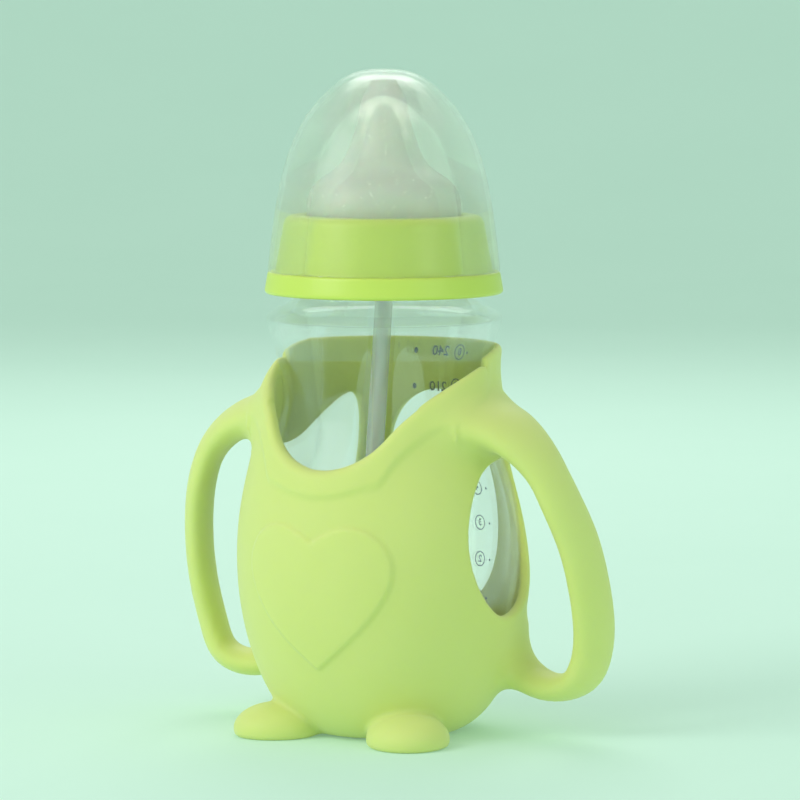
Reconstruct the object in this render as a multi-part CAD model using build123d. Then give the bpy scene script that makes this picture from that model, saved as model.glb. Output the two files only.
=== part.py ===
from build123d import *
import math
import os

# Wide-neck glass baby bottle in a one-piece silicone sleeve with two loop handles.
# Millimetres. The Z axis is the bottle's axis, the ground is z = 0 and the heart faces -Y.

# ---- silicone sleeve ----
sleeve_wall = 2.6
sleeve_rim_wall = 1.6
sleeve_floor = 3.0
sleeve_sole_radius = 18.6
sleeve_fit_gap = 0.12
sleeve_waist_relief = 2.4
sleeve_relief_spread = 12.0
sleeve_relief_drop = 5.0
sleeve_rim_drop = 5.0
scoop_depth = 30.4
scoop_overhang = 4.9
side_window_low = 32.6
side_window_drop = 2.0
back_window_low = 27.0
back_window_drop = 1.0
back_window_half_width = 17.4
heart_width = 41.6
heart_height = 37.6
heart_tip_height = 20.0
heart_raise = 0.8

# ---- handles ----
handle_finger_gap = 22.6
handle_high_drop = 6.5
handle_low_height = 13.1
handle_section_width = 13.2
handle_section_thickness = 7.3
handle_section_tilt = 18.8
handle_root_width = 33.0
handle_root_thickness = 12.5
handle_foot_growth = 4.5

# ---- feet ----
foot_half_length = 11.6
foot_half_width = 10.8
foot_half_height = 6.6
foot_centre_height = 2.0
foot_spread = 19.6
foot_forward = 22.8
foot_splay = 25.0

# ---- glass ----
glass_wall = 2.4
glass_floor = 3.4
base_radius = 19.0
heel_radius = 29.4
heel_height = 14.4
belly_radius = 36.0
belly_height = 47.0
flank_radius = 32.9
flank_height = 67.5
waist_radius = 26.6
waist_height = 89.0
shoulder_radius = 30.7
shoulder_height = 107.0
shoulder_drop = 5.6
neck_bead = 2.6
neck_radius = 23.0
neck_wall = 2.4
neck_length = 18.1

# ---- neck thread ----
thread_pitch = 6.0
thread_depth = 1.4
thread_root_width = 2.6
thread_crest_width = 1.2
glass_thread_turns = 1.5
collar_thread_turns = 1.25
thread_start_rise = 5.0
thread_play = 0.5

# ---- screw collar ----
flange_rise = 2.6
flange_thickness = 5.8
flange_width = 6.5
flange_taper = 1.0
collar_top_wall = 1.2
collar_top_plate = 2.2
collar_edge_round = 1.6
collar_lip = 2.4

# ---- teat ----
teat_wall = 1.6
teat_flange_thickness = 1.6
teat_flange_gap = 0.6
teat_hole_gap = 0.3
teat_neck_radius = 8.3
teat_neck_rise = 19.9
teat_tip_radius = 5.4
teat_length = 35.3
teat_slit_radius = 0.5

# ---- dome cap ----
cap_wall = 1.3
cap_seat_gap = 0.6
cap_headroom = 1.5

# ---- straw adapter ----
adapter_flange_thickness = 1.2
adapter_flange_inset = 0.6
adapter_plug_gap = 0.3
adapter_plug_depth = 5.0
adapter_plug_wall = 1.4
adapter_web = 1.5
adapter_vent_radius = 0.8
adapter_vent_circle = 11.0
nozzle_radius = 1.3
nozzle_bore_radius = 0.8
nozzle_length = 9.0

# ---- straw and its weight ----
straw_radius = 2.35
straw_grip_gap = 0.05
straw_bend_radius = 90.0
straw_lean = 4.0
straw_drop = 84.0
weight_radius = 7.2
weight_wall = 1.5
weight_neck_radius = 3.9
weight_neck_length = 5.0
weight_ball_radius = 4.7
weight_slot_width = 2.0
weight_slot_count = 6

# ---- places worked out from the sizes above ----
glass_bottom = sleeve_floor
sleeve_rim_height = shoulder_height - sleeve_rim_drop
handle_reach = belly_radius + handle_finger_gap
handle_high_height = waist_height - handle_high_drop
neck_root_height = shoulder_height + shoulder_drop
neck_root_radius = neck_radius + neck_bead
neck_inner_radius = neck_radius - neck_wall
neck_top = neck_root_height + neck_length
thread_start_height = neck_root_height + thread_start_rise
thread_major_radius = neck_radius + thread_depth
adapter_top = neck_top + adapter_flange_thickness
teat_flange_top = adapter_top + teat_flange_thickness
collar_bore_radius = thread_major_radius + thread_play
collar_top_height = teat_flange_top + collar_top_plate
collar_top_radius = thread_major_radius + collar_top_wall
teat_hole_radius = neck_radius - collar_lip
teat_base_radius = teat_hole_radius - teat_hole_gap
teat_neck_height = collar_top_height + teat_neck_rise
teat_top_height = collar_top_height + teat_length
flange_bottom_height = neck_root_height + flange_rise
flange_top_height = flange_bottom_height + flange_thickness
flange_radius = collar_bore_radius + flange_width
cap_radius = flange_radius - flange_taper
cap_top_height = teat_top_height + cap_headroom + cap_wall
collar_shoulder_radius = cap_radius - cap_wall - cap_seat_gap
web_bottom = neck_top - adapter_plug_depth
nozzle_end = web_bottom - nozzle_length
PROFILE_SAMPLES = 40


def revolved(points_and_curves):
    """A solid of revolution about Z from a closed chain of edges in the XZ plane."""
    return revolve(make_face(Curve() + points_and_curves), Axis.Z)


def at(radius, height):
    return (radius, 0, height)


def gourd_curve():
    """The outside of the glass from the edge of its base to the root of its neck."""
    return Spline(
        at(base_radius, glass_bottom),
        at(heel_radius, heel_height),
        at(belly_radius, belly_height),
        at(flank_radius, flank_height),
        at(waist_radius, waist_height),
        at(shoulder_radius, shoulder_height),
        at(neck_root_radius, neck_root_height),
        tangents=[(1.0, 0, 0.42), (-1.0, 0, 0.42)],
    )


def shifted(curve, distance_at, lowest, highest):
    """Points that stand off a curve along its normal, between two heights."""
    points = []
    for step in range(PROFILE_SAMPLES + 1):
        share = step / PROFILE_SAMPLES
        spot = curve @ share
        along = curve % share
        distance = distance_at(spot.Z)
        point = at(spot.X + along.Z * distance, spot.Z - along.X * distance)
        if lowest < point[2] < highest:
            points.append(point)
    return points


def sleeve_clearance(height):
    """The gap between glass and sleeve, wide just under the waist and a close fit elsewhere."""
    from_widest = (height - waist_height + sleeve_relief_drop) / sleeve_relief_spread
    return sleeve_fit_gap + sleeve_waist_relief * math.exp(-from_widest * from_widest)


def sleeve_wall_at(height):
    """The sleeve's wall, which thins from the waist to the rim."""
    share = (height - waist_height) / (sleeve_rim_height - waist_height)
    share = min(1.0, max(0.0, share))
    return sleeve_wall + (sleeve_rim_wall - sleeve_wall) * share


def sleeve_outside(extra):
    """The sleeve's outer form as a solid, raised by an extra thickness."""
    top = sleeve_rim_height
    skin = shifted(
        gourd_curve(),
        lambda height: sleeve_clearance(height) + sleeve_wall_at(height) + extra,
        0.3,
        top - 0.5,
    )
    last = skin[-1]
    top_point = at(last[0], top)
    sole = at(sleeve_sole_radius, -extra)
    return revolved([
        Polyline(at(0, -extra), sole, skin[0]),
        Spline(*skin),
        Polyline(last, top_point, at(0, top), at(0, -extra)),
    ])


def sleeve_cavity():
    """The space inside the sleeve that the glass stands in."""
    skin = shifted(gourd_curve(), sleeve_clearance, sleeve_floor + 0.3, shoulder_height)
    first = skin[0]
    last = skin[-1]
    above = sleeve_rim_height + 5.0
    return revolved([
        Polyline(at(0, sleeve_floor), at(first[0] - 0.6, sleeve_floor), first),
        Spline(*skin),
        Polyline(last, at(last[0], above), at(0, above), at(0, sleeve_floor)),
    ])


def scoop_cutter():
    """The front of the rim dips in a U so that the glass shows."""
    reach = belly_radius + 20.0
    rim = sleeve_rim_height
    half_width = waist_radius + scoop_overhang
    shares = [(0.229, 0.954), (0.352, 0.888), (0.463, 0.789), (0.568, 0.641), (0.686, 0.493), (0.80, 0.36)]
    half = [(across * half_width, rim - down * scoop_depth) for across, down in shares]
    half = [(0, rim - scoop_depth)] + half + [(half_width, rim + 0.5)]
    mirrored = [(-x, z) for x, z in reversed(half[1:])]
    outline = Curve() + [
        Spline(*(mirrored + half)),
        Polyline(half[-1], (reach, rim + 10), (-reach, rim + 10), mirrored[0]),
    ]
    face = Plane.XZ * make_face(outline)
    return extrude(face, reach)


def rim_side_cutter():
    """From the scoop the rim climbs on along both sides to its full height over the handles."""
    reach = belly_radius + 20.0
    rim = sleeve_rim_height
    shares = [(-24.0, 0.437), (-16.4, 0.329), (-12.6, 0.26), (-7.5, 0.19), (-2.5, 0.115), (4.0, 0.035)]
    climb = [(forward, rim - down * scoop_depth) for forward, down in shares] + [(9.5, rim + 0.4)]
    outline = Curve() + [
        Spline(*climb),
        Polyline(climb[-1], (9.5, rim + 10), (-reach, rim + 10), (-reach, climb[0][1] - 4.0), climb[0]),
    ]
    face = Plane.YZ * make_face(outline)
    return extrude(face, reach, both=True)


def side_window_cutter(side):
    """A leaf-shaped window in one side of the sleeve, under the handle's upper root."""
    turn = math.radians(105.0)
    reach = belly_radius + 20.0
    low = side_window_low
    rise = waist_height - side_window_drop - low
    leaf = [
        (-25.0, 0.39),
        (-22.3, 0.15),
        (-13.5, 0.0),
        (-1.0, 0.03),
        (11.0, 0.18),
        (18.6, 0.45),
        (19.2, 0.76),
        (14.5, 1.0),
        (6.5, 0.89),
        (-2.0, 0.79),
        (-13.5, 0.74),
        (-21.3, 0.60),
    ]
    points = [(side * across, low + share * rise) for across, share in leaf]
    face = make_face(Spline(*points, periodic=True))
    looking_in = Plane(
        origin=(0, 0, 0),
        x_dir=(math.cos(turn), side * math.sin(turn), 0),
        z_dir=(side * math.sin(turn), -math.cos(turn), 0),
    )
    return extrude(looking_in * face, reach)


def back_window_cutter():
    """The window in the back of the sleeve."""
    reach = belly_radius + 20.0
    low = back_window_low
    rise = waist_height - back_window_drop - low
    half = [(0.69, 0.11), (1.0, 0.37), (0.90, 0.70), (0.52, 0.94)]
    right = [(across * back_window_half_width, low + share * rise) for across, share in half]
    left = [(-across, up) for across, up in reversed(right)]
    leaf = Spline((0, low), *right, (0, low + rise), *left, periodic=True)
    return extrude(Plane.XZ * make_face(leaf), -reach)


def heart_raised():
    """The heart on the belly, proud of the sleeve by a named height."""
    half_width = heart_width / 2
    top = heart_tip_height + heart_height
    notch = (0, top - 4.1)
    tip = (0, heart_tip_height)
    right = [
        (half_width * 0.22, top - 1.4),
        (half_width * 0.54, top),
        (half_width * 0.88, top - 3.9),
        (half_width, top - 10.6),
        (half_width * 0.88, top - 18.8),
        (half_width * 0.52, top - 28.2),
    ]
    left = [(-x, z) for x, z in right]
    outline = Curve() + [
        Spline(notch, *right, tip),
        Spline(tip, *reversed(left), notch),
    ]
    prism = extrude(Plane.XZ * make_face(outline), belly_radius + 20.0)
    return sleeve_outside(heart_raise) & prism


def handle():
    """The +X loop handle: a flat oval section carried round a path from high on the body to low."""
    reach = handle_reach
    low = handle_low_height
    rise = handle_high_height - low
    path = Spline(
        (waist_radius + 2.3, -2.2, low + rise),
        (reach - 15.6, -5.1, low + 0.945 * rise),
        (reach - 9.2, -5.0, low + 0.853 * rise),
        (reach - 5.0, -3.5, low + 0.731 * rise),
        (reach - 1.7, -0.1, low + 0.578 * rise),
        (reach - 0.2, 2.9, low + 0.429 * rise),
        (reach, 5.9, low + 0.281 * rise),
        (reach - 1.3, 8.0, low + 0.144 * rise),
        (reach - 4.9, 8.3, low + 0.037 * rise),
        (reach - 11.6, 8.9, low),
        (reach - 19.5, 9.9, low + 0.020 * rise),
        (belly_radius - 8.5, 11.5, low + 0.150 * rise),
    )
    tilt = math.radians(handle_section_tilt)
    across = Vector(math.sin(tilt), math.cos(tilt), 0)
    sections = []
    shares = [0.0, 0.07, 0.15, 0.25, 0.35, 0.45, 0.55, 0.65, 0.73, 0.80, 0.87, 0.94, 1.0]
    for share in shares:
        along = path % share
        wide = across - along * across.dot(along)
        upper_flare = max(0.0, 1.0 - share / 0.25) ** 1.6
        lower_flare = max(0.0, (share - 0.86) / 0.14) ** 1.6
        width = handle_section_width
        width += (handle_root_width - handle_section_width) * upper_flare
        width += handle_foot_growth * lower_flare
        thickness = handle_section_thickness
        thickness += (handle_root_thickness - handle_section_thickness) * upper_flare
        thickness += handle_foot_growth * lower_flare
        plane = Plane(origin=path @ share, x_dir=wide, z_dir=along)
        sections.append(plane * Ellipse(width / 2, thickness / 2))
    return loft(sections)


def foot(side):
    """An egg-shaped front foot, flat underneath."""
    egg = scale(Sphere(1.0), by=(foot_half_width, foot_half_length, foot_half_height))
    place = Location((side * foot_spread, -foot_forward, foot_centre_height), (0, 0, side * foot_splay))
    egg = place * egg
    below = Pos(0, 0, -50) * Box(200, 200, 100)
    return egg - below


def silicone_sleeve():
    body = sleeve_outside(0) + heart_raised()
    body -= scoop_cutter()
    body -= rim_side_cutter()
    body -= back_window_cutter()
    right_handle = handle()
    handles = [right_handle, mirror(right_handle, Plane.YZ)]
    for side, loop in zip((1, -1), handles):
        body -= side_window_cutter(side)
        body += loop
        body += foot(side)
    return body - sleeve_cavity()


def thread_ridge(root_radius, outward, turns, start_height):
    """A helical ridge: its root is sunk a little into the wall that it stands on."""
    sunk = 0.4
    direction = 1 if outward else -1
    root = root_radius - direction * sunk
    crest = root_radius + direction * thread_depth
    helix = Helix(thread_pitch, thread_pitch * turns, root, center=(0, 0, start_height))
    half_root = thread_root_width / 2
    half_crest = thread_crest_width / 2
    section = Polyline(
        (root, 0, start_height - half_root),
        (crest, 0, start_height - half_crest),
        (crest, 0, start_height + half_crest),
        (root, 0, start_height + half_root),
        close=True,
    )
    return sweep(make_face(section), path=helix, is_frenet=True)


def glass_bottle():
    outside = gourd_curve()
    lowest = glass_bottom + glass_floor
    inside = shifted(outside, lambda height: -glass_wall, lowest + 0.3, neck_root_height)
    inside.reverse()
    neck_start = neck_root_height + 1.6
    root = at(neck_root_radius, neck_root_height)
    body = revolved([
        Line(at(0, glass_bottom), at(base_radius, glass_bottom)),
        outside,
        Polyline(
            root,
            at(neck_radius, neck_start),
            at(neck_radius, neck_top - 0.5),
            at(neck_radius - 0.5, neck_top),
            at(neck_inner_radius + 0.5, neck_top),
            at(neck_inner_radius, neck_top - 0.5),
            at(neck_inner_radius, neck_start + 1.0),
            inside[0],
        ),
        Spline(*inside),
        Polyline(inside[-1], at(inside[-1][0] - 0.8, lowest), at(0, lowest), at(0, glass_bottom)),
    ])
    return body + thread_ridge(neck_radius, True, glass_thread_turns, thread_start_height)


def screw_collar():
    plate_bottom = collar_top_height - collar_top_plate
    body = revolved([
        Polyline(
            at(collar_bore_radius, flange_bottom_height),
            at(flange_radius, flange_bottom_height),
            at(flange_radius - flange_taper, flange_top_height),
            at(collar_shoulder_radius, flange_top_height),
            at(collar_top_radius + collar_edge_round * 0.25, collar_top_height - collar_edge_round),
        ),
        Spline(
            at(collar_top_radius + collar_edge_round * 0.25, collar_top_height - collar_edge_round),
            at(collar_top_radius - collar_edge_round * 0.25, collar_top_height - collar_edge_round * 0.3),
            at(collar_top_radius - collar_edge_round, collar_top_height),
        ),
        Polyline(
            at(collar_top_radius - collar_edge_round, collar_top_height),
            at(teat_hole_radius, collar_top_height),
            at(teat_hole_radius, plate_bottom),
            at(thread_major_radius, plate_bottom),
            at(thread_major_radius, plate_bottom - 1.6),
            at(collar_bore_radius, plate_bottom - 3.0),
            at(collar_bore_radius, flange_bottom_height),
        ),
    ])
    start = thread_start_height + thread_pitch / 2
    return body + thread_ridge(collar_bore_radius, False, collar_thread_turns, start)


def teat_curve(inset):
    """The teat from the top of its base ring to its tip, inset by a wall."""
    base = collar_top_height + 1.0
    radius = teat_base_radius
    top = teat_top_height - inset
    return Spline(
        at(radius - inset, base),
        at(radius - 2.6 - inset, base + 7.5),
        at(radius - 8.1 - inset * 0.9, base + 11.6 - inset * 0.35),
        at(teat_neck_radius - inset, teat_neck_height),
        at(teat_tip_radius + 1.1 - inset, teat_neck_height + 6.7),
        at(teat_tip_radius - inset, teat_top_height - 4.4),
        at(teat_tip_radius * 0.62 - inset * 0.62, top - 0.5),
        at(0, top),
        tangents=[(0, 0, 1), (-1, 0, 0)],
    )


def teat():
    rim = thread_major_radius - teat_flange_gap
    base = collar_top_height + 1.0
    inner_base = teat_base_radius - teat_wall
    body = revolved([
        Polyline(
            at(inner_base, adapter_top),
            at(rim, adapter_top),
            at(rim, teat_flange_top),
            at(teat_base_radius, teat_flange_top),
            at(teat_base_radius, base),
        ),
        teat_curve(0),
        Line(at(0, teat_top_height), at(0, teat_top_height - teat_wall)),
        teat_curve(teat_wall),
        Line(at(inner_base, base), at(inner_base, adapter_top)),
    ])
    slit = Pos(0, 0, teat_top_height) * Cylinder(teat_slit_radius, 4 * teat_wall)
    return body - slit


def dome_curve(inset):
    """The cap's dome from the height of its seat to its apex, inset by a wall."""
    radius = cap_radius
    top = cap_top_height
    rise = top - flange_top_height
    return Spline(
        at(radius - inset, flange_top_height),
        at(radius - 0.3 - inset, flange_top_height + rise * 0.07),
        at(radius - 3.1 - inset, flange_top_height + rise * 0.426),
        at(radius - 8.8 - inset * 0.85, flange_top_height + rise * 0.729 - inset * 0.4),
        at(radius - 13.9 - inset * 0.7, flange_top_height + rise * 0.858 - inset * 0.7),
        at(radius - 20.2 - inset * 0.35, flange_top_height + rise * 0.958 - inset * 0.95),
        at(0, top - inset),
        tangents=[(0, 0, 1), (-1, 0, 0)],
    )


def dome_cap():
    return revolved([
        Line(at(cap_radius - cap_wall, flange_top_height), at(cap_radius, flange_top_height)),
        dome_curve(0),
        Line(at(0, cap_top_height), at(0, cap_top_height - cap_wall)),
        dome_curve(cap_wall),
    ])


def straw_adapter():
    plug = neck_inner_radius - adapter_plug_gap
    flange = neck_radius - adapter_flange_inset
    web_top = web_bottom + adapter_web
    body = revolved([
        Polyline(
            at(0, web_bottom),
            at(plug, web_bottom),
            at(plug, neck_top),
            at(flange, neck_top),
            at(flange, adapter_top),
            at(plug - adapter_plug_wall, adapter_top),
            at(plug - adapter_plug_wall, web_top),
            at(0, web_top),
            at(0, web_bottom),
        ),
    ])
    nozzle_middle = (web_bottom + nozzle_end) / 2
    body += Pos(0, 0, nozzle_middle + 0.25) * Cylinder(nozzle_radius, nozzle_length + 0.5)
    body -= Pos(0, 0, nozzle_middle) * Cylinder(nozzle_bore_radius, nozzle_length + 4 * adapter_web)
    for side in (-1, 1):
        vent = Cylinder(adapter_vent_radius, 4 * adapter_web)
        body -= Pos(0, side * adapter_vent_circle, web_bottom) * vent
    return body


def straw_path():
    """Straight down off the nozzle, one gentle bend, then straight to the weight."""
    bend_top = Vector(0, 0, nozzle_end - 0.5)
    lean = math.radians(straw_lean)
    centre_side = -1
    bend_end = bend_top + Vector(
        centre_side * straw_bend_radius * (1 - math.cos(lean)), 0, -straw_bend_radius * math.sin(lean)
    )
    half = lean / 2
    bend_middle = bend_top + Vector(
        centre_side * straw_bend_radius * (1 - math.cos(half)), 0, -straw_bend_radius * math.sin(half)
    )
    run = Vector(centre_side * math.sin(lean), 0, -math.cos(lean)) * straw_drop
    end = bend_end + run
    return Curve() + [
        Line((0, 0, web_bottom), bend_top),
        ThreePointArc(bend_top, bend_middle, bend_end),
        Line(bend_end, end),
    ], end


def straw_tube():
    path, end = straw_path()
    start = Plane(origin=(0, 0, web_bottom), z_dir=(0, 0, -1))
    ring = start * (Circle(straw_radius) - Circle(nozzle_radius + straw_grip_gap))
    return sweep(ring, path=path)


def weight_frame():
    """A frame at the straw's lower end, with its Z axis pointing back up the straw."""
    path, end = straw_path()
    return Location(end) * Location((0, 0, 0), (0, straw_lean, 0))


def weight_shells():
    """The round weight: two shells in its own frame, the neck's top at z = 0."""
    centre = -(weight_neck_length + weight_radius - 1.5)
    ball = Pos(0, 0, centre) * Sphere(weight_radius)
    hollow = Pos(0, 0, centre) * Sphere(weight_radius - weight_wall)
    neck = Pos(0, 0, -(weight_neck_length + 1.5) / 2) * Cylinder(weight_neck_radius, weight_neck_length + 1.5)
    outer = ball + neck - hollow
    outer -= Pos(0, 0, -weight_neck_length / 2) * Cylinder(nozzle_radius, 4 * weight_neck_length)
    upper = outer & (Pos(0, 0, centre + 50) * Box(100, 100, 100))
    lower = outer & (Pos(0, 0, centre - 50) * Box(100, 100, 100))
    for step in range(weight_slot_count // 2):
        slot = Box(4 * weight_radius, weight_slot_width, weight_radius * 0.62)
        turn = Rot(0, 0, step * 360 / weight_slot_count)
        lower -= turn * Pos(0, 0, centre - weight_radius * 0.60) * slot
    ball_sag = weight_radius - weight_wall - weight_ball_radius
    steel = Pos(0, 0, centre - ball_sag) * Sphere(weight_ball_radius)
    return upper, lower, steel


def main():
    os.makedirs("parts", exist_ok=True)
    frame = weight_frame()
    upper, lower, steel = weight_shells()
    nodes = {
        "silicone_sleeve": silicone_sleeve(),
        "glass_bottle": glass_bottle(),
        "screw_collar": screw_collar(),
        "teat": teat(),
        "dome_cap": dome_cap(),
        "straw_adapter": straw_adapter(),
        "straw_tube": straw_tube(),
        "weight_upper_shell": frame * upper,
        "weight_lower_shell": frame * lower,
        "weight_ball": frame * steel,
    }
    for name, solid in nodes.items():
        export_step(solid, f"parts/{name}.step")
        print(name, len(solid.solids()), round(solid.volume, 1))


main()
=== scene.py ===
import math

import bpy
import numpy as np
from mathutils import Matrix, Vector


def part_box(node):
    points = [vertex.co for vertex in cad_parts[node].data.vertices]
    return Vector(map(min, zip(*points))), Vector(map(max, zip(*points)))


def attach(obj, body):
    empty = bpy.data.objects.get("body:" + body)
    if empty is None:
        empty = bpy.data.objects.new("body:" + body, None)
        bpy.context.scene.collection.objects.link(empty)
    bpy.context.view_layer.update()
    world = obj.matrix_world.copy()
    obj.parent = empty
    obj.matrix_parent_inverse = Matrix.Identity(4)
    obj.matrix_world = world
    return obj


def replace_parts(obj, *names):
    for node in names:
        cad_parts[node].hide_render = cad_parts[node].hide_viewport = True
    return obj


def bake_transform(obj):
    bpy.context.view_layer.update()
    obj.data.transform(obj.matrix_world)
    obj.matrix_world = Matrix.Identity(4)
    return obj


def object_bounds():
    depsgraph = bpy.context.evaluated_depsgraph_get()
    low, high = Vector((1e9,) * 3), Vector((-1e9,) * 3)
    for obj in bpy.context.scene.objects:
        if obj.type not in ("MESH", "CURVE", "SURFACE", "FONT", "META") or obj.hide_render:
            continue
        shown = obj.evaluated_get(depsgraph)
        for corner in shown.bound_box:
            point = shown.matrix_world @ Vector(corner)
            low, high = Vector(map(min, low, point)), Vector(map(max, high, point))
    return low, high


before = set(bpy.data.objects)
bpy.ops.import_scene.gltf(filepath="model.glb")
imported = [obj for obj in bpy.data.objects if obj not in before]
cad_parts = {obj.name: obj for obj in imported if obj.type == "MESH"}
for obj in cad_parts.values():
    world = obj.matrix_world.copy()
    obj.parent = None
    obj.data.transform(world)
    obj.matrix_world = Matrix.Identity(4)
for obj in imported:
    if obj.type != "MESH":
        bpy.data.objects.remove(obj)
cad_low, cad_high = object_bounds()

# Lengths inside this script are millimetres until a mesh is made, when they become metres.
MM = 0.001

# ---------------------------------------------------------------- places from the frame


def node_box(name):
    low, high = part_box(name)
    return np.array(low) / MM, np.array(high) / MM


glass_low, glass_high = node_box("glass_bottle")
sleeve_low, sleeve_high = node_box("silicone_sleeve")
collar_low, collar_high = node_box("screw_collar")
teat_low, teat_high = node_box("teat")
cap_low, cap_high = node_box("dome_cap")
adapter_low, _ = node_box("straw_adapter")

GLASS_BOTTOM = glass_low[2]
NECK_TOP = glass_high[2]
RIM_HEIGHT = sleeve_high[2]
COLLAR_BOTTOM = collar_low[2]
COLLAR_TOP = collar_high[2]
TEAT_BOTTOM = teat_low[2]
TEAT_TOP = teat_high[2]
CAP_BOTTOM = cap_low[2]
CAP_TOP = cap_high[2]
CAP_RADIUS = cap_high[0]

# ---------------------------------------------------------------- sizes shared with the CAD part

SHOULDER = (30.7, RIM_HEIGHT + 5.0)
WAIST = (26.6, RIM_HEIGHT - 13.0)
FLANK = (32.9, 67.5)
BELLY = (36.0, 47.0)
HEEL = (29.4, 14.4)
BASE = (19.0, GLASS_BOTTOM)
NECK_ROOT = (25.6, NECK_TOP - 18.1)
NECK_RADIUS = 23.0
GLASS_WALL = 2.4
GLASS_FLOOR = 3.4
THREAD_PITCH = 6.0
THREAD_DEPTH = 1.4
SLEEVE_WALL = 2.6
SLEEVE_RIM_WALL = 1.6
SLEEVE_GAP = 0.12
WAIST_RELIEF = 2.4
RELIEF_SPREAD = 12.0
RELIEF_HEIGHT = WAIST[1] - 5.0
SOLE_RADIUS = 18.6
SCOOP_DEPTH = 30.4
LIP_RAISE = 0.85
HEART_RAISE = 0.8
WINDOW_ROUND = -0.35
SCOOP_HALF_WIDTH = WAIST[0] + 4.9
HANDLE_WIDTH = 13.2
HANDLE_THICKNESS = 7.3
HANDLE_TILT = math.radians(18.8)
HANDLE_REACH = BELLY[0] + 22.6
HANDLE_LOW = 13.1
HANDLE_HIGH = WAIST[1] - 6.5
ROOT_WIDTH = 33.0
ROOT_THICKNESS = 12.5
HANDLE_FOOT_GROWTH = 4.5
FOOT_CENTRE = (19.6, -22.8, 2.0)
FOOT_HALF_SIZE = (11.6, 10.8, 6.6)
FOOT_SPLAY = math.radians(25.0)
SIDE_WINDOW_LOW = 32.6
BACK_WINDOW_LOW = 27.0
THREAD_START = NECK_ROOT[1] + 5.0
THREAD_PLAY = 0.5
GLASS_THREAD_TURNS = 1.5
COLLAR_THREAD_TURNS = 1.25
COLLAR_LIP = 2.4
TEAT_HOLE_GAP = 0.3
TEAT_WALL = 1.6
CAP_WALL = 1.3
CAP_SEAT_GAP = 0.6
STRAW_RADIUS = 2.35
STRAW_BORE_RADIUS = 1.35


# ---------------------------------------------------------------- curves


def slope_at(points, times, moment):
    """The slope, at a moment, of the lowest polynomial that runs through timed points."""
    slope = np.zeros(points.shape[1])
    indices = range(len(points))
    for j in indices:
        for m in indices:
            if m != j:
                product = 1.0 / (times[j] - times[m])
                for k in indices:
                    if k not in (j, m):
                        product *= (moment - times[k]) / (times[j] - times[k])
                slope += product * points[j]
    return slope


def spline(points, count, start=None, end=None, span=None):
    """A smooth curve through the points, timed by chord length, with optional end directions.
    span is the first and last point that the result runs between, if not the whole curve."""
    points = np.array(points, float)
    chords = np.linalg.norm(np.diff(points, axis=0), axis=1)
    times = np.concatenate([[0], np.cumsum(chords)])
    n = len(points)
    matrix = np.zeros((n, n))
    target = np.zeros_like(points)
    for i in range(1, n - 1):
        before, after = chords[i - 1], chords[i]
        matrix[i, i - 1] = after
        matrix[i, i] = 2 * (before + after)
        matrix[i, i + 1] = before
        slope_before = (points[i] - points[i - 1]) / before
        slope_after = (points[i + 1] - points[i]) / after
        target[i] = 3 * (slope_before * after + slope_after * before)
    for i, direction, near in ((0, start, slice(0, 4)), (n - 1, end, slice(max(0, n - 4), n))):
        matrix[i, i] = 1
        if direction is None:
            target[i] = slope_at(points[near], times[near], times[i])
        else:
            speed = np.abs(slope_at(points[:3], times[:3], times[i])).sum()
            target[i] = np.array(direction, float) * (speed / np.abs(direction).sum())
    slopes = np.linalg.solve(matrix, target)
    first, last = span or (0, n - 1)
    moments = np.linspace(times[first], times[last], count)
    index = np.clip(np.searchsorted(times, moments, side="right") - 1, 0, n - 2)
    width = chords[index][:, None]
    u = ((moments - times[index]) / chords[index])[:, None]
    p0, p1, m0, m1 = points[index], points[index + 1], slopes[index] * width, slopes[index + 1] * width
    return (
        (2 * u**3 - 3 * u**2 + 1) * p0
        + (u**3 - 2 * u**2 + u) * m0
        + (3 * u**2 - 2 * u**3) * p1
        + (u**3 - u**2) * m1
    )


def rounded(points, radius, steps=5):
    """An open outline with its inner corners rounded by arcs; radius is one value or one per corner."""
    points = [np.array(p, float) for p in points]
    radii = radius if hasattr(radius, "__len__") else [radius] * (len(points) - 2)
    result = [points[0]]
    for before, corner, after, r in zip(points, points[1:], points[2:], radii):
        a, b = before - corner, after - corner
        room = min(np.linalg.norm(a), np.linalg.norm(b)) * 0.49
        a, b = a / np.linalg.norm(a), b / np.linalg.norm(b)
        half = math.acos(np.clip(a @ b, -1, 1)) / 2
        if r <= 0 or half > math.pi / 2 - 0.02:
            result.append(corner)
            continue
        reach = min(r / math.tan(half), room)
        r = reach * math.tan(half)
        centre = corner + (a + b) / np.linalg.norm(a + b) * (r / math.sin(half))
        first, last = corner + a * reach - centre, corner + b * reach - centre
        angle = math.pi - 2 * half
        for step in range(steps + 1):
            s = step / steps
            spoke = math.sin((1 - s) * angle) * first + math.sin(s * angle) * last
            result.append(centre + spoke / math.sin(angle))
    result.append(points[-1])
    return result


def densified(points, longest):
    """The same outline with no segment longer than given."""
    result = [np.array(points[0], float)]
    for a, b in zip(points, points[1:]):
        a, b = np.array(a, float), np.array(b, float)
        cuts = max(1, math.ceil(np.linalg.norm(b - a) / longest))
        result += [a + (b - a) * (i + 1) / cuts for i in range(cuts)]
    return result


def offset(curve, distance):
    """A curve moved sideways along its normals: positive to the right of its direction."""
    curve = np.array(curve, float)
    along = np.gradient(curve, axis=0)
    along /= np.linalg.norm(along, axis=1)[:, None]
    return curve + np.stack([along[:, 1], -along[:, 0]], 1) * distance


# ---------------------------------------------------------------- meshes


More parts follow.
